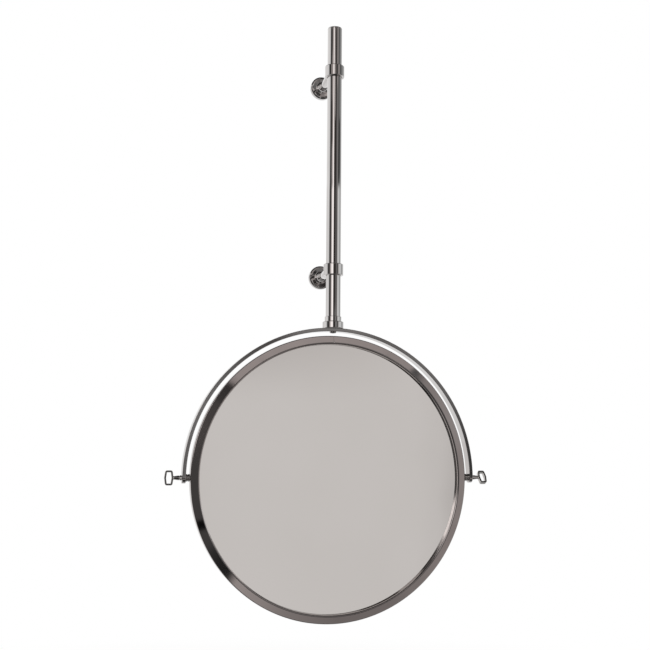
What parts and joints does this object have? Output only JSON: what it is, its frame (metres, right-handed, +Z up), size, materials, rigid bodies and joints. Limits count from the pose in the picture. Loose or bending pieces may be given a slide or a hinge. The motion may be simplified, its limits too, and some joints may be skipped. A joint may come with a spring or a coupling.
{
  "type": "extendable shaving mirror",
  "caption": "Round metal-framed mirror tilting in a half-ring yoke on a tube that slides and swivels in the collars of wall brackets.",
  "frame": {"origin": "centre of the lower bracket's wall face", "axes": "+X to the right as the viewer faces the mirror, +Y into the wall, +Z up"},
  "size_m": [0.5636, 0.108, 1.031],
  "materials": {
    "ring_metal": "mirror-polished nickel plate, warm grey",
    "pole_metal": "mirror-polished nickel plate",
    "bracket_metal": "mirror-polished nickel plate",
    "screw_metal": "polished nickel plate",
    "glass": "silvered mirror glass",
    "board": "raw fibreboard",
    "cover": "satin sheet",
    "nylon": "natural nylon",
    "insert": "turned brass",
    "plate": "zinc-plated steel"
  },
  "bodies": {
    "brackets": {"collar_lower": "bracket_metal", "set_screw_lower": "screw_metal", "arm_lower": "bracket_metal", "rosette_lower": "bracket_metal", "wall_plate_lower": "plate", "collar_upper": "bracket_metal", "set_screw_upper": "screw_metal", "arm_upper": "bracket_metal", "rosette_upper": "bracket_metal", "wall_plate_upper": "plate"},
    "bushes": {"bush_lower": "nylon", "bush_upper": "nylon"},
    "hanger": {"pole_tube": "pole_metal", "pole_cap": "pole_metal", "pole_insert": "insert", "pole_socket": "pole_metal", "yoke": "pole_metal", "yoke_bolt": "screw_metal", "spacer_left": "screw_metal", "spacer_right": "screw_metal"},
    "mirror": {"frame_ring": "ring_metal", "mirror_glass": "glass", "backing_board": "board", "back_cover": "cover", "cover_screws": "screw_metal"},
    "left_thumb": {"thumb_screw_left": "screw_metal"},
    "right_thumb": {"thumb_screw_right": "screw_metal"}
  },
  "joints": [
    {"name": "pole_swivel", "type": "hinge", "parent": "brackets", "child": "bushes", "pos_m": [0, -0.09, 0], "axis": [0, 0, 1], "range_deg": [-15, 15]},
    {"name": "pole_slide", "type": "slide", "parent": "bushes", "child": "hanger", "axis": [0, 0, 1], "range_m": [-0.07, 0.07]},
    {"name": "mirror_tilt", "type": "hinge", "parent": "hanger", "child": "mirror", "pos_m": [0, -0.09, -0.355], "axis": [1, 0, 0], "range_deg": [-18, 18]},
    {"name": "left_thumb_turn", "type": "hinge", "parent": "mirror", "child": "left_thumb", "pos_m": [-0.268, -0.09, -0.355], "axis": [-1, 0, 0], "range_deg": [0, 270]},
    {"name": "right_thumb_turn", "type": "hinge", "parent": "mirror", "child": "right_thumb", "pos_m": [0.268, -0.09, -0.355], "axis": [1, 0, 0], "range_deg": [0, 270]}
  ]
}
